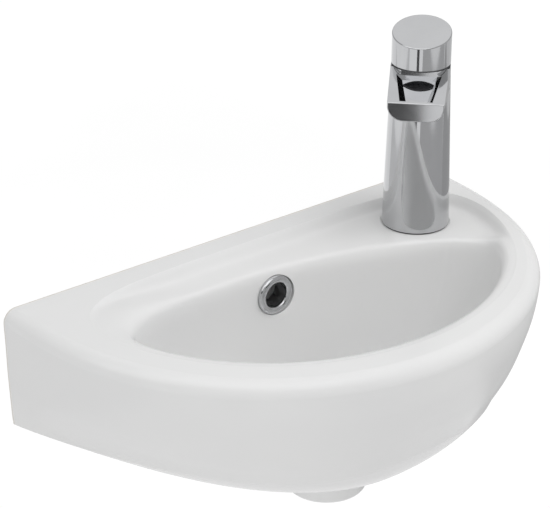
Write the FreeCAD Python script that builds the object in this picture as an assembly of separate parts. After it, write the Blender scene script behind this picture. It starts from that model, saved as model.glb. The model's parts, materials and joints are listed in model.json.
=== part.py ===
import FreeCAD, Part
import math
import os
from FreeCAD import Vector

# Hand basin with a pillar tap. Millimetres, +Z up, wall plane at Y = 0, front towards -Y.
# The origin is midway between the two wall bolts, on the wall plane.

# Basin outside
basin_width = 400.0
basin_reach = 235.0
basin_height = 148.0
bolt_drop = 45.0
rim_round = 10.0
back_stock = 1.0
# Rows: drop, half width and reach as shares, then how square the sides and the front are.
upper_shares = (
    (0.00, 1.000, 1.000, 1.90, 2.50),
    (0.11, 0.999, 0.995, 1.97, 2.40),
    (0.22, 0.998, 0.980, 2.10, 2.20),
    (0.33, 0.998, 0.954, 2.29, 1.91),
    (0.43, 0.996, 0.931, 2.54, 1.51),
    (0.52, 0.995, 0.903, 2.75, 1.17),
    (0.61, 0.991, 0.881, 2.69, 1.08),
)
lower_shares = (
    (0.61, 0.991, 0.881, 2.69, 1.08),
    (0.69, 0.865, 0.850, 2.58, 1.36),
    (0.77, 0.720, 0.807, 2.38, 1.59),
    (0.85, 0.534, 0.742, 2.21, 1.73),
    (0.92, 0.332, 0.683, 2.07, 1.88),
    (0.97, 0.200, 0.640, 2.01, 1.96),
    (1.00, 0.130, 0.620, 2.00, 2.00),
)
outline_steps = 24

# Bowl, rim and lowered tap deck
rim_side_width = 20.4
rim_front_width = 24.8
rim_shift = 5.7
ledge_width = 18.0
rim_side_power = 2.0
rim_front_power = 2.5
corner_power = 3.0
rim_lean = 10.0
round_power = 3.0
deck_step = 8.0
step_foot = 9.0
foot_share = 0.36
deck_start_share = -0.85
deck_full_share = -0.45
brow_lead = 5.0
brow_drop = 8.0
brow_inset = 11.0
brow_end_inset = 11.6
brow_rear = 71.5
brow_tilt = 9.8
brow_centre_y = -128.0
brow_power = 8.0
bowl_floor_thickness = 26.0
floor_radius = 34.0
bowl_steepness = 0.8
bowl_turns = (4, 9, 16, 26, 37, 48, 58, 67, 75)
narrow_gap = 12.0
wide_gap = 26.0
ring_steps = 56
ring_squash = 0.6
flare = 8.0
surface_degree = 3
halving_steps = 48
# From the rim to the brow: how far in each ring lies, as shares of the gap between them.
shoulder_shares = (-0.08, 0.0, 0.04, 0.08, 0.13, 0.22, 0.36, 0.50, 0.64, 0.78, 0.88, 0.95, 1.0)

# Waste hole, boss and overflow
drain_y = -106.0
waste_radius = 23.0
waste_seat_radius = 31.5
waste_seat_depth = 3.0
boss_radius = 30.0
boss_length = 16.6
boss_round = 2.0
overflow_drop = 28.0
overflow_x = -6.4
overflow_hole_radius = 12.6
overflow_seat_depth = 1.8
duct_width = 30.0
duct_depth = 14.0
duct_web = 9.0
channel_height = 11.0
channel_floor = 7.0

# Back of the basin
back_wall = 14.0
skin = 13.0
bowl_wall = 12.0
deck_thickness = 16.0
left_hollow_reach = 62.0
right_hollow_reach = 95.0
bolt_spacing = 180.0
bolt_hole_radius = 7.0

# Overflow trim ring
ring_flange_radius = 15.2
ring_flange_proud = 2.2
ring_hole_radius = 9.3
ring_barrel_length = 11.0
ring_edge_round = 2.8

# Tap column and nose
tap_from_side = 70.5
tap_y = -55.4
nose_turn = -47.0
tap_hole_radius = 17.5
seat_margin = 0.9
seat_sink = 0.4
column_base_radius = 25.6
column_top_radius = 21.8
column_height = 127.3
column_wall = 3.5
nose_reach = 46.0
nose_tip_width = 41.0
nose_lip_height = 14.0
nose_drop = 14.4
nose_start = 10.0
nose_corner = 11.5
trough_start = 17.5
trough_end_margin = 2.0
trough_rear_width = 33.0
trough_tip_width = 23.6
trough_depth = 4.5
trough_wall_run = 4.4
nose_edge_round = 0.8

# Seals, tail and clamping pieces under the deck
base_seal_thickness = 1.2
base_seal_inset = 0.9
base_seal_width = 5.0
tail_radius = 10.48
tail_bore = 7.0
tail_below_deck = 59.0
tail_in_column = 12.0
tail_free_length = 28.0
tail_groove_width = 1.6
tail_groove_depth = 0.6
tail_seal_thickness = 2.0
column_floor = 18.0
washer_radius = 21.0
deck_washer_thickness = 3.0
clamp_washer_thickness = 2.0
nut_across_flats = 30.0
nut_height = 8.0
thread_clearance = 0.05
washer_clearance = 0.3

# Valve headwork
seat_depth = 41.3
seat_plate = 6.0
seat_bore = 7.0
cavity_radius = 10.55
housing_lower_radius = 9.3
housing_wall = 0.7
housing_thread_length = 5.0
hex_across_flats = 23.0
hex_height = 5.0
hex_room = 0.8
shoulder_depth = 10.4
housing_seal_thickness = 1.5
seat_seal_thickness = 2.0
disc_radius = 8.2
disc_thickness = 3.0
disc_port_shares = (0.25, 0.85)
disc_port_sweep = 60.0
disc_film = 0.05
foot_thickness = 4.0
spindle_radius = 4.0
spindle_clearance = 0.05
spindle_seal_height = 2.0
spindle_seal_depth = 1.1
clip_gap = 0.3
clip_thickness = 1.0
clip_width = 2.6
clip_depth = 0.8
clip_opening = 3.0
window_width = 6.0
window_height = 5.0
passage_radius = 2.5
passage_rise = 2.8

# Outlet under the nose
aerator_reach = 34.0
aerator_radius = 9.0
aerator_wall = 1.4
aerator_length = 6.0
aerator_seal_thickness = 1.5
aerator_lip = 1.2
outlet_chamber_radius = 5.0
outlet_chamber_height = 3.5
insert_thickness = 3.5
insert_hole_radius = 0.9
insert_ring_radii = (3.0, 5.6)
insert_ring_counts = (6, 12)

# Handle
slide_ring_thickness = 1.0
slide_ring_inset = 0.6
slide_ring_width = 6.0
handle_gap = 0.3
handle_front_height = 17.1
handle_rear_height = 28.9
handle_wall = 3.5
handle_roof = 5.5
handle_edge_round = 0.9
hub_radius = 7.5
hub_below = 3.6
spindle_into_hub = 10.5
screw_radius = 2.0
screw_length = 6.5
screw_rise = 3.4
socket_across_flats = 2.0
socket_depth = 2.5
cover_radius = 2.6
cover_clearance = 0.05

# One overrun serves all cuts
overrun = 2.0

rim_z = bolt_drop
deck_z = rim_z - deck_step
half_width = basin_width / 2
rim_half_width = half_width - rim_side_width
rim_reach = basin_reach - rim_front_width
brow_half_length = rim_half_width - brow_end_inset
tap_x = half_width - tap_from_side
tap_base = Vector(tap_x, tap_y, deck_z - seat_sink)
up = Vector(0, 0, 1)


def cylinder(radius, low, high, x=0, y=0):
    return Part.makeCylinder(radius, high - low, Vector(x, y, low))


def tube(outer, inner, low, high):
    return cylinder(outer, low, high).cut(cylinder(inner, low - overrun, high + overrun))


def hexagon(across_flats, low, high):
    corner = across_flats / math.sqrt(3)
    turns = [math.radians(60 * side) for side in range(7)]
    points = [Vector(corner * math.cos(turn), corner * math.sin(turn), low) for turn in turns]
    return Part.Face(Part.makePolygon(points)).extrude(up * (high - low))


def box(low, high):
    size = high - low
    return Part.makeBox(size.x, size.y, size.z, low)


def curve(points, closed):
    line = Part.BSplineCurve()
    line.interpolate(Points=points, PeriodicFlag=closed)
    return line.toShape()


def on_tap(shape):
    """Turn a piece modelled with its nose towards -Y and set it on the deck."""
    placed = shape.copy()
    placed.rotate(Vector(0, 0, 0), up, nose_turn)
    placed.translate(tap_base)
    return placed


# Outside of the basin
def front_outline(half, reach, side_power, front_power, z):
    points = []
    for step in range(outline_steps + 1):
        turn = math.pi * step / outline_steps
        across = math.copysign(abs(math.cos(turn)) ** (2 / side_power), -math.cos(turn))
        forward = (reach + back_stock) * abs(math.sin(turn)) ** (2 / front_power)
        points.append(Vector(half * across, back_stock - forward, z))
    points[0].y = back_stock
    points[-1].y = back_stock
    return Part.Wire([curve(points, False), Part.makeLine(points[-1], points[0])])


def outside_section(row, inset=0, z=None):
    drop, across, reach, side_power, front_power = row
    level = rim_z - drop * basin_height if z is None else z
    return front_outline(half_width * across - inset, basin_reach * reach - inset,
                         side_power, front_power, level)


def outside():
    """Whole outside, cut flat where it meets the wall."""
    upper = Part.makeLoft([outside_section(row) for row in upper_shares], True, False)
    rim_edges = [edge for edge in upper.Edges
                 if edge.BoundBox.ZMin > rim_z - rim_round / 2 and edge.BoundBox.YLength > basin_reach / 2]
    upper = upper.makeFillet(rim_round, rim_edges)
    lower = Part.makeLoft([outside_section(row) for row in lower_shares], True, False)
    behind = box(Vector(-basin_width, 0, rim_z - 2 * basin_height),
                 Vector(basin_width, basin_reach, rim_z + overrun))
    return upper.fuse(lower).cut(behind)


# Inside of the basin: every ring is drawn round the waste hole's axis
def rim_measure(x, y):
    front = ((abs(x - rim_shift) / rim_half_width) ** rim_side_power
             + max(-y / rim_reach, 0) ** rim_front_power)
    rear = max(0, (y - drain_y) / (-ledge_width - drain_y))
    return (front ** corner_power + rear ** corner_power) ** (1 / corner_power)


def brow_measure(x, y):
    front = ((abs(x - rim_shift) / (rim_half_width - brow_inset)) ** rim_side_power
             + max(-y / (rim_reach - brow_inset), 0) ** rim_front_power)
    tilt = math.radians(brow_tilt)
    along = x * math.cos(tilt) - (y - brow_centre_y) * math.sin(tilt)
    back = x * math.sin(tilt) + (y - brow_centre_y) * math.cos(tilt)
    rear = (along / brow_half_length) ** 2 + (max(back, 0) / brow_rear) ** 2
    return (front ** brow_power + rear ** brow_power) ** (1 / brow_power)


def radius_where(measure, angle):
    near, far = 0.0, basin_width
    for _ in range(halving_steps):
        middle = (near + far) / 2
        if measure(middle * math.cos(angle), drain_y + middle * math.sin(angle)) < 1:
            near = middle
        else:
            far = middle
    return near


def smooth_step(value):
    value = min(1.0, max(0.0, value))
    return value * value * (3 - 2 * value)


ring_angles = [math.atan2(ring_squash * math.sin(2 * math.pi * step / ring_steps),
                          math.cos(2 * math.pi * step / ring_steps)) for step in range(ring_steps)]
rim_radii = [radius_where(rim_measure, angle) for angle in ring_angles]
brow_radii = [radius_where(brow_measure, angle) for angle in ring_angles]


def round_drop(in_share):
    """Drop share of the plain rounded shoulder, where no deck lies between rim and brow."""
    return 1 - (1 - in_share ** round_power) ** (1 / round_power)


def deck_drop(inset, gap):
    """Drop over the soft step at the rim, the flat deck and the rounded brow."""
    foot = min(step_foot, gap * foot_share)
    lead = min(brow_lead, gap * foot_share)
    over = max(0.0, 1 - (gap - inset) / lead)
    return deck_step * smooth_step(inset / foot) + brow_drop * (1 - math.sqrt(max(0.0, 1 - over * over)))


def deck_share(x, gap):
    """How far the lowered deck has formed: not at all at the left end or where the gap is narrow."""
    along = (x / half_width - deck_start_share) / (deck_full_share - deck_start_share)
    return smooth_step(along) * smooth_step((gap - narrow_gap) / (wide_gap - narrow_gap))


def shoulder_point(in_share, gap, share):
    """Inset from the rim and drop below it, at one share of the way to the brow."""
    side = math.copysign(1, in_share)
    inset = gap * abs(in_share)
    lean = math.tan(math.radians(rim_lean)) * inset * max(0.0, 1 - inset / step_foot) ** 2
    round_part = (deck_step + brow_drop) * round_drop(abs(in_share))
    return side * inset, side * (lean + share * deck_drop(inset, gap) + (1 - share) * round_part)


def ring(radii, heights):
    return [Vector(radius * math.cos(angle), drain_y + radius * math.sin(angle), height)
            for radius, angle, height in zip(radii, ring_angles, heights)]


def level_ring(radii, height):
    return ring(radii, [height] * ring_steps)


def net_solid(rings):
    """Solid inside one smooth surface that follows a stack of rings, flat at both ends."""
    spans = len(rings) - surface_degree
    poles = [list(column) for column in zip(*rings)]
    end = surface_degree + 1
    surface = Part.BSplineSurface()
    surface.buildFromPolesMultsKnots(poles, [1] * (ring_steps + 1), [end] + [1] * (spans - 1) + [end],
                                     list(range(ring_steps + 1)), list(range(spans + 1)), True, False,
                                     surface_degree, surface_degree)
    side = surface.toShape()
    ends = [edge for edge in side.Edges if edge.BoundBox.ZLength < overrun]
    shell = Part.makeShell([side] + [Part.Face(Part.Wire([edge])) for edge in ends])
    shell.sewShape()
    solid = Part.makeSolid(shell)
    return solid if solid.Volume > 0 else solid.reversed()


def bowl_level(turn):
    """Spread and drop of the bowl wall, as shares, at one turn of its profile."""
    spread_share = math.cos(math.radians(turn)) ** bowl_steepness
    drop_share = math.sin(math.radians(turn)) / math.sin(math.radians(bowl_turns[-1]))
    return spread_share, drop_share


def bowl_radii(turn, grow=0):
    last_share = bowl_level(bowl_turns[-1])[0]
    spread_share, drop_share = bowl_level(turn)
    blend = ((1 - spread_share) / (1 - last_share)) ** 2
    return [brow * spread_share + (floor_radius - brow * last_share) * blend + grow for brow in brow_radii]


brow_z = deck_z - brow_drop
floor_z = rim_z - basin_height + bowl_floor_thickness


def bowl_rings(grow=0):
    rings = []
    for turn in bowl_turns:
        height = brow_z - bowl_level(turn)[1] * (brow_z - floor_z) - grow
        rings.append(level_ring(bowl_radii(turn, grow), height))
    return rings


def inside():
    rings = [level_ring([rim + flare for rim in rim_radii], rim_z + 2 * flare)]
    gaps = [rim - brow for rim, brow in zip(rim_radii, brow_radii)]
    shares = [deck_share(rim * math.cos(angle), gap) for rim, angle, gap in zip(rim_radii, ring_angles, gaps)]
    for in_share in shoulder_shares:
        shoulder = [shoulder_point(in_share, gap, share) for gap, share in zip(gaps, shares)]
        rings.append(ring([rim - inset for rim, (inset, drop) in zip(rim_radii, shoulder)],
                          [rim_z - drop for inset, drop in shoulder]))
    return net_solid(rings + bowl_rings())


def bowl_mass():
    """The bowl with its wall, to keep the hollows behind it clear of the glaze."""
    wide = [brow + bowl_wall for brow in brow_radii]
    return net_solid([level_ring(wide, rim_z), level_ring(wide, brow_z)] + bowl_rings(bowl_wall))


def hollow(side):
    """Open space under the ledge on one side, reached from below to fit the bolts and the tap."""
    reach = right_hollow_reach if side > 0 else left_hollow_reach
    roof_z = deck_z - deck_thickness
    low_z = rim_z - basin_height - overrun
    corner_row = lower_shares[0]
    prism = Part.Face(outside_section(corner_row, skin, low_z)).extrude(up * (roof_z - low_z))
    inner_x = duct_width / 2 + duct_web
    xs = sorted((overflow_x + side * inner_x, side * basin_width))
    zone = box(Vector(xs[0], -reach, low_z - overrun), Vector(xs[1], -back_wall, roof_z + overrun))
    return prism.common(zone).cut(bowl_mass())


cavity = inside()
overflow_z = rim_z - overflow_drop
probe = Part.makeLine(Vector(overflow_x, drain_y, overflow_z), Vector(overflow_x, 0, overflow_z))
overflow_y = cavity.common(probe).BoundBox.YMax
duct_front = -back_wall - duct_depth


def along_y(radius, low, high):
    return Part.makeCylinder(radius, high - low, Vector(overflow_x, low, overflow_z), Vector(0, 1, 0))


def overflow_cuts():
    channel_low = rim_z - basin_height + channel_floor
    duct_left, duct_right = overflow_x - duct_width / 2, overflow_x + duct_width / 2
    duct = box(Vector(duct_left, duct_front, channel_low),
               Vector(duct_right, -back_wall, overflow_z + overflow_hole_radius))
    hole = along_y(overflow_hole_radius, overflow_y - overrun, duct_front + duct_depth / 2)
    seat = along_y(ring_flange_radius + washer_clearance, overflow_y - ring_flange_radius,
                   overflow_y + overflow_seat_depth)
    channel = box(Vector(duct_left, drain_y, channel_low),
                  Vector(duct_right, duct_front + overrun, channel_low + channel_height))
    return [duct, hole, seat, channel]


def basin():
    body = outside()
    boss_low = rim_z - basin_height - boss_length
    boss = cylinder(boss_radius, boss_low, floor_z - bowl_wall, 0, drain_y)
    lip = [edge for edge in boss.Edges if edge.BoundBox.ZMax < boss_low + boss_round]
    body = body.fuse(boss.makeFillet(boss_round, lip))
    body = body.cut(cavity)
    cuts = [hollow(-1), hollow(1),
            cylinder(washer_radius + washer_clearance, boss_low, deck_z - deck_thickness, tap_x, tap_y),
            cylinder(column_base_radius + seat_margin, deck_z - seat_sink, deck_z + flare, tap_x, tap_y),
            cylinder(tap_hole_radius, deck_z - deck_thickness - overrun, deck_z + overrun, tap_x, tap_y),
            cylinder(waste_radius, boss_low - overrun, floor_z + overrun, 0, drain_y),
            cylinder(waste_seat_radius, floor_z - waste_seat_depth, floor_z + overrun, 0, drain_y)]
    for side in (-1, 1):
        start = Vector(side * bolt_spacing / 2, -back_wall - overrun, 0)
        cuts.append(Part.makeCylinder(bolt_hole_radius, back_wall + 2 * overrun, start, Vector(0, 1, 0)))
    for piece in cuts + overflow_cuts():
        body = body.cut(piece)
    return body


def overflow_ring():
    front = overflow_y - ring_flange_proud
    seat = overflow_y + overflow_seat_depth
    flange = along_y(ring_flange_radius, front, seat)
    rim = [edge for edge in flange.Edges if edge.BoundBox.YMax < front + ring_edge_round]
    flange = flange.makeFillet(ring_edge_round, rim)
    barrel = along_y(overflow_hole_radius - thread_clearance, seat - overrun, seat + ring_barrel_length)
    hole = along_y(ring_hole_radius, front - overrun, seat + ring_barrel_length + overrun)
    ring = flange.fuse(barrel).cut(hole)
    mouth = [edge for edge in ring.Edges
             if edge.BoundBox.YMax < front + ring_edge_round
             and abs(edge.BoundBox.XLength / 2 - ring_hole_radius) < ring_edge_round]
    return ring.makeFillet(ring_edge_round, mouth)


# Tap column with its nose
column_low = base_seal_thickness
nose_tip_z = column_height - nose_drop
nose_low_z = nose_tip_z - nose_lip_height
nose_slope = nose_drop / (nose_reach - nose_start)
outlet_top = nose_low_z + aerator_length + aerator_seal_thickness
seat_z = column_height - seat_depth
shoulder_z = column_height - shoulder_depth


def nose_top_at(reach):
    return column_height - nose_slope * (reach - nose_start)


def nose_section(reach, width, top):
    """U-shaped outline across the nose: flat on top, rounded below."""
    half = width / 2
    low = nose_low_z
    bend = nose_corner * math.sqrt(0.5)
    right_up, right_low = Vector(half, -reach, top), Vector(half, -reach, low + nose_corner)
    left_up, left_low = Vector(-half, -reach, top), Vector(-half, -reach, low + nose_corner)
    foot_right, foot_left = Vector(half - nose_corner, -reach, low), Vector(nose_corner - half, -reach, low)
    right_mid = Vector(half - nose_corner + bend, -reach, low + nose_corner - bend)
    left_mid = Vector(nose_corner - half - bend, -reach, low + nose_corner - bend)
    return Part.Wire([Part.makeLine(left_up, right_up), Part.makeLine(right_up, right_low),
                      Part.Arc(right_low, right_mid, foot_right).toShape(),
                      Part.makeLine(foot_right, foot_left),
                      Part.Arc(foot_left, left_mid, left_low).toShape(), Part.makeLine(left_low, left_up)])


def nose():
    root = nose_section(0, 2 * column_top_radius, nose_top_at(0))
    tip = nose_section(nose_reach, nose_tip_width, nose_tip_z)
    shape = Part.makeLoft([root, tip], True, True)
    lip = [edge for edge in shape.Edges if edge.BoundBox.YMax < -nose_reach + nose_edge_round]
    shape = shape.makeFillet(nose_edge_round, lip)
    return shape.common(cylinder(basin_width, 0, column_height))


def trough_outline(level):
    """Outline of the recess in the nose's top: level 0 is its floor, 1 the top it is cut from."""
    inset = trough_wall_run * (1 - level)
    drop = trough_depth * (1 - level)
    rear, tip = trough_rear_width / 2 - inset, trough_tip_width / 2 - inset
    end = nose_reach - trough_end_margin - inset
    corners = ((-rear, trough_start), (rear, trough_start), (tip, end), (-tip, end))
    points = [Vector(x, -reach, nose_top_at(reach) - drop) for x, reach in corners]
    return Part.makePolygon(points + points[:1])


def trough():
    """The recess with its sloping walls, carried on well above the nose."""
    return Part.makeLoft([trough_outline(0), trough_outline(3)], True, True)


def tap_body():
    height = column_height - column_low
    column = Part.makeCone(column_base_radius, column_top_radius, height, Vector(0, 0, column_low))
    body = column.fuse(nose()).cut(trough())
    chamber_top = seat_z - seat_plate
    taper = (column_base_radius - column_top_radius) / height
    chamber = Part.makeCone(column_base_radius - taper * column_floor - column_wall,
                            column_base_radius - taper * chamber_top - column_wall,
                            chamber_top - column_floor, Vector(0, 0, column_floor))
    tail_top = column_low + tail_in_column
    hex_hole = hex_across_flats / math.sqrt(3) + hex_room
    cuts = [chamber,
            cylinder(tail_radius + thread_clearance, column_low - overrun, tail_top + tail_seal_thickness),
            cylinder(tail_bore, tail_top, column_floor + overrun),
            cylinder(seat_bore, chamber_top - overrun, seat_z + overrun),
            cylinder(cavity_radius, seat_z, shoulder_z + overrun),
            cylinder(hex_hole, shoulder_z, column_height + overrun),
            Part.makeCylinder(passage_radius, aerator_reach + outlet_chamber_radius / 2,
                              Vector(0, 0, outlet_top + passage_rise), Vector(0, -1, 0)),
            cylinder(aerator_radius + thread_clearance, nose_low_z - overrun, outlet_top, 0, -aerator_reach),
            cylinder(outlet_chamber_radius, outlet_top - overrun, outlet_top + outlet_chamber_height,
                     0, -aerator_reach)]
    for piece in cuts:
        body = body.cut(piece)
    return body


def base_seal():
    outer = column_base_radius - base_seal_inset
    return tube(outer, outer - base_seal_width, 0, base_seal_thickness)


# Tail and clamping pieces
def inlet_tail():
    tail = tube(tail_radius, tail_bore, -tail_below_deck, column_low + tail_in_column)
    groove_low = tail_free_length - tail_below_deck
    return tail.cut(tube(tail_radius + overrun, tail_radius - tail_groove_depth,
                         groove_low, groove_low + tail_groove_width))


def tail_seal():
    low = column_low + tail_in_column
    return tube(tail_radius - thread_clearance, tail_bore, low, low + tail_seal_thickness)


deck_low = seat_sink - deck_thickness


def deck_washer():
    return tube(washer_radius, tail_radius + washer_clearance, deck_low - deck_washer_thickness, deck_low)


def clamp_washer():
    high = deck_low - deck_washer_thickness
    return tube(washer_radius, tail_radius + washer_clearance, high - clamp_washer_thickness, high)


def backnut():
    high = deck_low - deck_washer_thickness - clamp_washer_thickness
    nut = hexagon(nut_across_flats, high - nut_height, high)
    return nut.cut(cylinder(tail_radius + thread_clearance, high - nut_height - overrun, high + overrun))


# Valve headwork
fixed_disc_low = seat_z + seat_seal_thickness
moving_disc_low = fixed_disc_low + disc_thickness + disc_film
foot_low = moving_disc_low + disc_thickness
foot_high = foot_low + foot_thickness
housing_ceiling = foot_high + spindle_clearance
hex_low = shoulder_z + housing_seal_thickness
housing_top = hex_low + hex_height
clip_low = housing_top + clip_gap
handle_low = column_height + slide_ring_thickness + handle_gap
hub_low = handle_low - hub_below
spindle_top = hub_low + spindle_into_hub
spindle_seal_low = hex_low


def seat_seal():
    return tube(disc_radius, seat_bore - washer_clearance, seat_z, fixed_disc_low)


def disc_ports(low):
    """Two opposite openings shaped as ring sectors."""
    inner_share, outer_share = disc_port_shares
    sector = Part.makeCylinder(disc_radius * outer_share, disc_thickness + 2 * overrun,
                               Vector(0, 0, low - overrun), up, disc_port_sweep)
    middle = cylinder(disc_radius * inner_share, low - 2 * overrun, low + disc_thickness + 2 * overrun)
    sector = sector.cut(middle)
    opposite = sector.copy()
    opposite.rotate(Vector(0, 0, 0), up, 180)
    return [sector, opposite]


def fixed_disc():
    disc = cylinder(disc_radius, fixed_disc_low, fixed_disc_low + disc_thickness)
    return disc.cut(disc_ports(fixed_disc_low))


def moving_disc():
    ports = disc_ports(moving_disc_low)
    for port in ports:
        port.rotate(Vector(0, 0, 0), up, 90)
    return cylinder(disc_radius, moving_disc_low, moving_disc_low + disc_thickness).cut(ports)


def cartridge_housing():
    thread_low = shoulder_z - housing_thread_length
    body = cylinder(housing_lower_radius, seat_z, thread_low)
    body = body.fuse([cylinder(cavity_radius - thread_clearance, thread_low, hex_low),
                      hexagon(hex_across_flats, hex_low, housing_top)])
    chamber = housing_lower_radius - housing_wall
    cuts = [cylinder(chamber, seat_z - overrun, housing_ceiling),
            cylinder(spindle_radius + spindle_clearance, seat_z, housing_top + overrun)]
    window_low = moving_disc_low
    for side in (-1, 1):
        cuts.append(box(Vector(min(0, side * cavity_radius), -window_width / 2, window_low),
                        Vector(max(0, side * cavity_radius), window_width / 2, window_low + window_height)))
    return body.cut(cuts).removeSplitter()


def housing_seal():
    outer = hex_across_flats / 2
    return tube(outer, cavity_radius, shoulder_z, hex_low)


def spindle():
    body = cylinder(disc_radius, foot_low, foot_high).fuse(cylinder(spindle_radius, foot_low, spindle_top))
    outer = spindle_radius + overrun
    seal_groove = tube(outer, spindle_radius - spindle_seal_depth, spindle_seal_low,
                       spindle_seal_low + spindle_seal_height)
    clip_groove = tube(outer, spindle_radius - clip_depth, clip_low, clip_low + clip_thickness)
    return body.cut([seal_groove, clip_groove])


def spindle_seal():
    return tube(spindle_radius, spindle_radius - spindle_seal_depth, spindle_seal_low,
                spindle_seal_low + spindle_seal_height)


def spindle_clip():
    inner = spindle_radius - clip_depth
    ring = tube(inner + clip_width, inner, clip_low, clip_low + clip_thickness)
    far = inner + clip_width + overrun
    return ring.cut(box(Vector(-clip_opening / 2, 0, clip_low - overrun),
                        Vector(clip_opening / 2, far, clip_low + clip_thickness + overrun)))


# Outlet
aerator_top = nose_low_z + aerator_length


def at_outlet(shape):
    shape.translate(Vector(0, -aerator_reach, 0))
    return shape


def aerator_housing():
    bore = aerator_radius - aerator_wall
    ring = tube(aerator_radius, bore, nose_low_z, aerator_top)
    lip = tube(aerator_radius, bore - aerator_lip, nose_low_z, nose_low_z + aerator_lip)
    return at_outlet(ring.fuse(lip))


def aerator_insert():
    bore = aerator_radius - aerator_wall - thread_clearance
    low = nose_low_z + aerator_lip
    disc = cylinder(bore, low, low + insert_thickness)
    holes = []
    for circle, count in zip(insert_ring_radii, insert_ring_counts):
        for index in range(count):
            turn = 2 * math.pi * index / count
            holes.append(cylinder(insert_hole_radius, low - overrun, low + insert_thickness + overrun,
                                  circle * math.cos(turn), circle * math.sin(turn)))
    return at_outlet(disc.cut(holes))


def aerator_seal():
    high = aerator_top + aerator_seal_thickness
    return at_outlet(tube(aerator_radius, outlet_chamber_radius, aerator_top, high))


# Handle and what holds it
screw_z = handle_low + screw_rise
handle_radius = column_top_radius


def slide_ring():
    outer = column_top_radius - slide_ring_inset
    return tube(outer, outer - slide_ring_width, column_height, column_height + slide_ring_thickness)


def along_rear(radius, low, high):
    return Part.makeCylinder(radius, high - low, Vector(0, low, screw_z), Vector(0, 1, 0))


def handle_top_cut():
    """Everything above the slanted top, which falls towards the nose."""
    rise = (handle_rear_height - handle_front_height) / (2 * handle_radius)
    wide = 2 * handle_radius
    front = handle_low + handle_front_height - rise * (wide - handle_radius)
    rear = handle_low + handle_rear_height + rise * (wide - handle_radius)
    high = rear + wide
    points = [Vector(-wide, -wide, front), Vector(-wide, wide, rear),
              Vector(-wide, wide, high), Vector(-wide, -wide, high)]
    return Part.Face(Part.makePolygon(points + points[:1])).extrude(Vector(2 * wide, 0, 0))


def handle():
    cap = cylinder(handle_radius, handle_low, handle_low + handle_rear_height + overrun).cut(handle_top_cut())
    rim = [edge for edge in cap.Edges if edge.BoundBox.ZMin > handle_low + handle_front_height / 2
           and edge.BoundBox.ZLength > handle_edge_round and edge.BoundBox.XLength > handle_radius]
    cap = cap.makeFillet(handle_edge_round, rim)
    ceiling = handle_low + handle_front_height - handle_roof
    cap = cap.cut(cylinder(handle_radius - handle_wall, handle_low - overrun, ceiling))
    cap = cap.fuse(cylinder(hub_radius, hub_low, ceiling + overrun))
    return cap.cut([cylinder(spindle_radius + thread_clearance, hub_low - overrun, spindle_top + handle_gap),
                    along_rear(screw_radius + thread_clearance, 0, hub_radius + overrun),
                    along_rear(cover_radius + cover_clearance, handle_radius - handle_wall - overrun,
                               handle_radius + overrun)])


def handle_screw():
    low = spindle_radius + thread_clearance
    screw = along_rear(screw_radius, low, low + screw_length)
    socket = hexagon(socket_across_flats, 0, socket_depth + overrun)
    socket.rotate(Vector(0, 0, 0), Vector(1, 0, 0), -90)
    socket.translate(Vector(0, low + screw_length - socket_depth, screw_z))
    return screw.cut(socket)


def screw_cover():
    plug = along_rear(cover_radius, handle_radius - handle_wall, handle_radius + overrun)
    return plug.common(cylinder(handle_radius - cover_clearance, hub_low, spindle_top + handle_radius))


def save(name, shape):
    solids = shape.Solids
    whole = solids[0] if len(solids) == 1 else Part.Compound(solids)
    whole.exportStep("parts/" + name + ".step")
    print(name, len(solids), round(whole.Volume), whole.isValid())


os.makedirs("parts", exist_ok=True)
save("basin", basin())
save("overflow_ring", overflow_ring())
tap_pieces = (tap_body, base_seal, inlet_tail, tail_seal, deck_washer, clamp_washer, backnut,
              seat_seal, fixed_disc, cartridge_housing, housing_seal, slide_ring,
              aerator_housing, aerator_insert, aerator_seal,
              handle, handle_screw, screw_cover, spindle, spindle_seal, spindle_clip, moving_disc)
for piece in tap_pieces:
    save(piece.__name__, on_tap(piece()))
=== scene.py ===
import json
import math

import bpy
from mathutils import Matrix, Vector


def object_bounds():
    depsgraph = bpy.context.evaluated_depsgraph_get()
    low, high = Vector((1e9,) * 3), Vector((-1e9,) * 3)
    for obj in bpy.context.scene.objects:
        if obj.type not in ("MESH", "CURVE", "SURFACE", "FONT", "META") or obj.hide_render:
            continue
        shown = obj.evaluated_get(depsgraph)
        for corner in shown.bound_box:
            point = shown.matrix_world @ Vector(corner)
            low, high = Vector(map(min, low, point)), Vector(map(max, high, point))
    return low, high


# Camera: place in the basin's frame, turn about the vertical, tilt below the horizon, lens
camera_place = (-0.73135, -0.95765, 0.61601)
camera_turn = 38.768
camera_tilt = 26.035
camera_lens = 117.735
camera_sensor = 36.0
camera_shift_shares = (-0.0012, -0.0014)

# Studio
studio_aim = (0.0, -0.10, 0.02)
floor_drop = 1.4
floor_half = 30.0
floor_glow = 1.0
floor_deep = (0.99, 0.99, 0.99)
floor_pale = (1.04, 1.04, 1.04)
glow_spots = 0.5
sky_grey = 0.54
sky_strength = 1.0

# Lamps: name, turn about the vertical, height angle, power
lamp_distance = 2.0
lamp_width = 1.2
lamps = (
    ("front_high", 20.0, 60.0, 8.4),
    ("left_level", -70.0, 5.0, 5.6),
    ("right_middle", 65.0, 30.0, 5.7),
    ("front_left_low", -45.0, -35.0, 3.6),
    ("right_high", 65.0, 60.0, 4.4),
    ("left_high", -115.0, 60.0, 4.6),
    ("front_low", 20.0, -35.0, 2.2),
    ("front_middle", -25.0, 30.0, 1.8),
    ("right_level", 110.0, 5.0, 1.6),
    ("left_low", -115.0, -35.0, 1.0),
)

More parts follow.
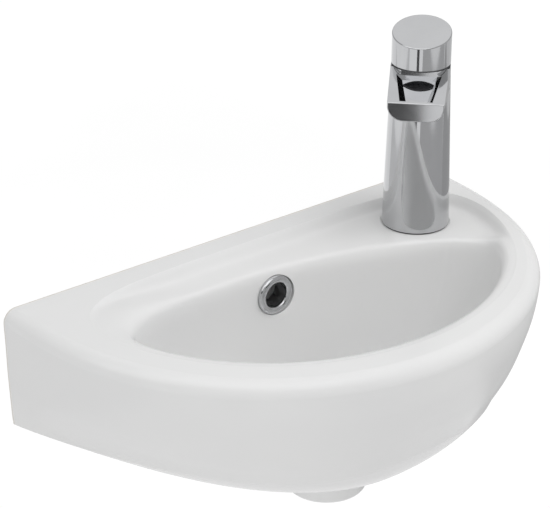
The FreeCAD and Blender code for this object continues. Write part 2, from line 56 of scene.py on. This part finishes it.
# Cards that only shiny surfaces see: name, turn, height angle, width, height, glow
card_distance = 1.8
card_deep = (0.94, 0.94, 0.95)
card_pale = (1.0, 1.0, 1.0)
cards = (
    ("under", 0.0, -90.0, 16.0, 16.0, 1.0),
    ("dark_left", -81.0, 13.0, 0.9, 0.5, 0.01),
    ("dark_front", -9.0, 21.0, 0.9, 0.6, 0.01),
    ("grey_right", 98.0, -29.2, 2.6, 0.9, 0.44),
    ("grey_front", 12.0, -29.2, 3.6, 0.9, 0.52),
    ("grey_left", -125.0, -32.3, 2.4, 0.9, 0.74),
    ("pale_right", 98.0, -11.0, 2.6, 0.3, 0.70),
    ("pale_front", 12.0, -11.0, 3.6, 0.3, 0.88),
    ("dark_strip", -53.5, -24.0, 0.305, 1.0, 0.10),
    ("light_top", 137.0, 57.0, 1.5, 1.5, 0.96),
    ("light_left", -100.0, 38.0, 1.0, 0.8, 1.50),
    ("light_high", -56.0, 68.0, 1.8, 1.6, 1.60),
)

# Noise that colours, dulls and dents the surfaces
opaque = 1
black = (0, 0, 0, opaque)
even_stretch = (1, 1, 1)
soft_detail = 3.0
deep_end_share = 0.3
pale_end_share = 0.7

# Glaze
glaze_pale = (0.815, 0.815, 0.812)
glaze_deep = (0.785, 0.786, 0.786)
glaze_cloud_scale = 7.0
glaze_rough_scale = 18.0
glaze_rough = (0.20, 0.28)
glaze_ripple_scale = 24.0
glaze_ripple_detail = 2.0
glaze_ripple_strength = 0.03
glaze_ripple_depth = 0.0008
glaze_gloss = 0.45

# Bare fired clay on the face against the wall
clay_pale = (0.74, 0.72, 0.68)
clay_deep = (0.66, 0.64, 0.60)
clay_start = -0.0022
clay_full = -0.0006
clay_grain_scale = 160.0
clay_grain_detail = 6.0
clay_rough_scale = 90.0
clay_rough = (0.60, 0.80)

# Metals
full_metal = 1.0
metal_detail = 4.0
metal_rough_finer = 2
metal_bump_finer = 3
metal_bump_depth = 0.0002
chrome_pale = (0.57, 0.575, 0.585)
chrome_deep = (0.53, 0.535, 0.545)
chrome_scale = 30.0
chrome_rough = (0.04, 0.09)
chrome_bump = 0.01
brass_pale = (0.78, 0.62, 0.34)
brass_deep = (0.62, 0.46, 0.22)
brass_scale = 60.0
brass_rough = (0.22, 0.38)
brass_bump = 0.15
brass_stretch = (1, 1, 9)
steel_pale = (0.66, 0.66, 0.67)
steel_deep = (0.50, 0.50, 0.51)
steel_scale = 90.0
steel_rough = (0.25, 0.42)
steel_bump = 0.20
steel_stretch = (1, 6, 1)

# Rubber, plastics and valve discs
plain_detail = 5.0
plain_rough_finer = 2
plain_bump_finer = 4
plain_bump_detail = 6.0
rubber_pale = (0.045, 0.045, 0.047)
rubber_deep = (0.018, 0.018, 0.019)
rubber_scale = 220.0
rubber_rough = (0.62, 0.80)
rubber_bump = 0.25
rubber_bump_depth = 0.0003
plastic_pale = (0.10, 0.10, 0.105)
plastic_deep = (0.05, 0.05, 0.053)
plastic_scale = 260.0
plastic_rough = (0.45, 0.60)
plastic_bump = 0.20
plastic_bump_depth = 0.0002
cover_pale = (0.56, 0.57, 0.58)
cover_deep = (0.48, 0.49, 0.50)
cover_scale = 120.0
cover_rough = (0.15, 0.25)
cover_bump = 0.05
cover_bump_depth = 0.0001
disc_pale = (0.86, 0.84, 0.79)
disc_deep = (0.76, 0.74, 0.69)
disc_scale = 320.0
disc_rough = (0.10, 0.20)
disc_bump = 0.04
disc_bump_depth = 0.0001

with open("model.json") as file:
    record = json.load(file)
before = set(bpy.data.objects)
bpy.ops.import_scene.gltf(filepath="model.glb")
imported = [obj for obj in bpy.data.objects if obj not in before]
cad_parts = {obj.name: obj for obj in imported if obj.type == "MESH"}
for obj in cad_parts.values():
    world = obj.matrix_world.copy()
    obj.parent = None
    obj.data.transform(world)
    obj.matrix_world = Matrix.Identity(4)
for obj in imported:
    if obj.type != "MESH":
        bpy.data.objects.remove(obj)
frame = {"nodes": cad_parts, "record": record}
cad_low, cad_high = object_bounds()
scene = bpy.context.scene


# Node helpers
def new_material(name):
    material = bpy.data.materials.new(name)
    material.use_nodes = True
    return material, material.node_tree, material.node_tree.nodes["Principled BSDF"]


def spots(tree, scale, detail=soft_detail, stretch=even_stretch):
    """Soft noise in the object's own coordinates."""
    place = tree.nodes.new("ShaderNodeTexCoord")
    mapping = tree.nodes.new("ShaderNodeMapping")
    mapping.inputs["Scale"].default_value = stretch
    noise = tree.nodes.new("ShaderNodeTexNoise")
    noise.inputs["Scale"].default_value = scale
    noise.inputs["Detail"].default_value = detail
    tree.links.new(place.outputs["Object"], mapping.inputs["Vector"])
    tree.links.new(mapping.outputs["Vector"], noise.inputs["Vector"])
    return noise.outputs["Fac"]


def colours(tree, value, deep, pale):
    ramp = tree.nodes.new("ShaderNodeValToRGB")
    low, high = ramp.color_ramp.elements
    low.position = deep_end_share
    high.position = pale_end_share
    low.color = (*deep, opaque)
    high.color = (*pale, opaque)
    tree.links.new(value, ramp.inputs["Fac"])
    return ramp.outputs["Color"]


def numbers(tree, value, ends):
    span = tree.nodes.new("ShaderNodeMapRange")
    span.inputs["To Min"].default_value, span.inputs["To Max"].default_value = ends
    tree.links.new(value, span.inputs["Value"])
    return span.outputs["Result"]


def bumps(tree, shader, value, strength, depth):
    bump = tree.nodes.new("ShaderNodeBump")
    bump.inputs["Strength"].default_value = strength
    bump.inputs["Distance"].default_value = depth
    tree.links.new(value, bump.inputs["Height"])
    tree.links.new(bump.outputs["Normal"], shader.inputs["Normal"])


def mix(tree, kind, share, first, second):
    node = tree.nodes.new("ShaderNodeMix")
    node.data_type = kind
    tree.links.new(share, node.inputs["Factor"])
    tree.links.new(first, node.inputs["A"])
    tree.links.new(second, node.inputs["B"])
    return node.outputs["Result"]


# Materials
def back_share(tree):
    """One on the unglazed face that meets the wall, nought elsewhere."""
    place = tree.nodes.new("ShaderNodeTexCoord")
    split = tree.nodes.new("ShaderNodeSeparateXYZ")
    span = tree.nodes.new("ShaderNodeMapRange")
    span.inputs["From Min"].default_value = clay_start
    span.inputs["From Max"].default_value = clay_full
    tree.links.new(place.outputs["Object"], split.inputs["Vector"])
    tree.links.new(split.outputs["Y"], span.inputs["Value"])
    return span.outputs["Result"]


def glaze():
    """White glaze with a faint ripple, bare fired clay on the face against the wall."""
    material, tree, shader = new_material("glaze")
    bare = back_share(tree)
    white = colours(tree, spots(tree, glaze_cloud_scale), glaze_deep, glaze_pale)
    clay = colours(tree, spots(tree, clay_grain_scale, clay_grain_detail), clay_deep, clay_pale)
    tree.links.new(mix(tree, "RGBA", bare, white, clay), shader.inputs["Base Color"])
    shine = numbers(tree, spots(tree, glaze_rough_scale), glaze_rough)
    dull = numbers(tree, spots(tree, clay_rough_scale), clay_rough)
    tree.links.new(mix(tree, "FLOAT", bare, shine, dull), shader.inputs["Roughness"])
    ripple = spots(tree, glaze_ripple_scale, glaze_ripple_detail)
    bumps(tree, shader, ripple, glaze_ripple_strength, glaze_ripple_depth)
    shader.inputs["Specular IOR Level"].default_value = glaze_gloss
    return material


def metal(name, deep, pale, scale, rough, strength, stretch=even_stretch):
    material, tree, shader = new_material(name)
    tint = spots(tree, scale, metal_detail, stretch)
    wear = spots(tree, scale * metal_rough_finer, metal_detail, stretch)
    dents = spots(tree, scale * metal_bump_finer, metal_detail, stretch)
    tree.links.new(colours(tree, tint, deep, pale), shader.inputs["Base Color"])
    tree.links.new(numbers(tree, wear, rough), shader.inputs["Roughness"])
    bumps(tree, shader, dents, strength, metal_bump_depth)
    shader.inputs["Metallic"].default_value = full_metal
    return material


def chrome():
    return metal("chrome", chrome_deep, chrome_pale, chrome_scale, chrome_rough, chrome_bump)


def brass():
    return metal("brass", brass_deep, brass_pale, brass_scale, brass_rough, brass_bump, brass_stretch)


def steel():
    return metal("steel", steel_deep, steel_pale, steel_scale, steel_rough, steel_bump, steel_stretch)


def plain(name, deep, pale, scale, rough, strength, depth):
    material, tree, shader = new_material(name)
    tint = spots(tree, scale, plain_detail)
    wear = spots(tree, scale * plain_rough_finer)
    dents = spots(tree, scale * plain_bump_finer, plain_bump_detail)
    tree.links.new(colours(tree, tint, deep, pale), shader.inputs["Base Color"])
    tree.links.new(numbers(tree, wear, rough), shader.inputs["Roughness"])
    bumps(tree, shader, dents, strength, depth)
    return material


def rubber():
    return plain("rubber", rubber_deep, rubber_pale, rubber_scale, rubber_rough, rubber_bump, rubber_bump_depth)


def plastic():
    return plain("plastic", plastic_deep, plastic_pale, plastic_scale, plastic_rough, plastic_bump,
                 plastic_bump_depth)


def cover():
    return plain("cover", cover_deep, cover_pale, cover_scale, cover_rough, cover_bump, cover_bump_depth)


def disc():
    return plain("disc", disc_deep, disc_pale, disc_scale, disc_rough, disc_bump, disc_bump_depth)


def dress():
    """Give every solid the material of its slot in the record."""
    makers = {"glaze": glaze, "chrome": chrome, "brass": brass, "steel": steel, "rubber": rubber,
              "plastic": plastic, "cover": cover, "disc": disc}
    made = {slot: maker() for slot, maker in makers.items()}
    for entry in frame["record"]["subparts"]:
        piece = frame["nodes"][entry["node"]]
        piece.data.materials.clear()
        piece.data.materials.append(made[entry["material_slot"]])


# Camera and light
def camera():
    data = bpy.data.cameras.new("camera")
    data.lens = camera_lens
    data.sensor_width = camera_sensor
    data.shift_x, data.shift_y = camera_shift_shares
    holder = bpy.data.objects.new("camera", data)
    scene.collection.objects.link(holder)
    turn = math.radians(camera_turn)
    tilt = math.radians(camera_tilt)
    level = math.cos(tilt)
    ahead = Vector((math.sin(turn) * level, math.cos(turn) * level, -math.sin(tilt)))
    look = ahead.to_track_quat("-Z", "Y").to_matrix().to_4x4()
    holder.matrix_world = Matrix.Translation(camera_place) @ look
    scene.camera = holder


def facing(turn, height, distance):
    """Place that looks at the basin from a turn about the vertical and a height angle."""
    side = math.radians(turn)
    rise = math.radians(height)
    level = math.cos(rise)
    away = Vector((math.sin(side) * level, -math.cos(side) * level, math.sin(rise)))
    look = (-away).to_track_quat("-Z", "Y").to_matrix().to_4x4()
    return Matrix.Translation(Vector(studio_aim) + away * distance) @ look


def lamp(name, turn, height, power):
    """Soft square lamp that shiny surfaces don't mirror."""
    data = bpy.data.lights.new(name, "AREA")
    data.shape = "SQUARE"
    data.size = lamp_width
    data.energy = power
    holder = bpy.data.objects.new(name, data)
    scene.collection.objects.link(holder)
    holder.matrix_world = facing(turn, height, lamp_distance)
    holder.visible_glossy = False


def glow_material(name, deep, pale, glow):
    """Surface that only shines, a little unevenly."""
    material, tree, shader = new_material(name)
    tree.links.new(colours(tree, spots(tree, glow_spots), deep, pale), shader.inputs["Emission Color"])
    shader.inputs["Base Color"].default_value = black
    shader.inputs["Specular IOR Level"].default_value = 0
    shader.inputs["Emission Strength"].default_value = glow
    return material


def sheet(name, half_wide, half_tall, material):
    """Flat sheet of the studio that casts no shadow and lights no dull surface."""
    mesh = bpy.data.meshes.new(name)
    corners = [(-half_wide, -half_tall, 0), (half_wide, -half_tall, 0),
               (half_wide, half_tall, 0), (-half_wide, half_tall, 0)]
    mesh.from_pydata(corners, [], [(0, 1, 2, 3)])
    mesh.materials.append(material)
    holder = bpy.data.objects.new(name, mesh)
    scene.collection.objects.link(holder)
    holder.visible_diffuse = False
    holder.visible_shadow = False
    return holder


def card(name, turn, height, width, tall, glow):
    holder = sheet(name, width / 2, tall / 2, glow_material(name, card_deep, card_pale, glow))
    holder.matrix_world = facing(turn, height, card_distance)
    holder.visible_camera = False


def floor():
    """Plain pale floor, well below the basin."""
    holder = sheet("floor", floor_half, floor_half, glow_material("floor", floor_deep, floor_pale, floor_glow))
    holder.location.z = cad_low.z - floor_drop
    holder.visible_glossy = False


def sky():
    world = bpy.data.worlds.new("sky")
    world.use_nodes = True
    back = world.node_tree.nodes["Background"]
    back.inputs["Color"].default_value = (sky_grey, sky_grey, sky_grey, opaque)
    back.inputs["Strength"].default_value = sky_strength
    scene.world = world


dress()
camera()
for row in lamps:
    lamp(*row)
for row in cards:
    card(*row)
floor()
sky()
scene.view_settings.view_transform = "Standard"
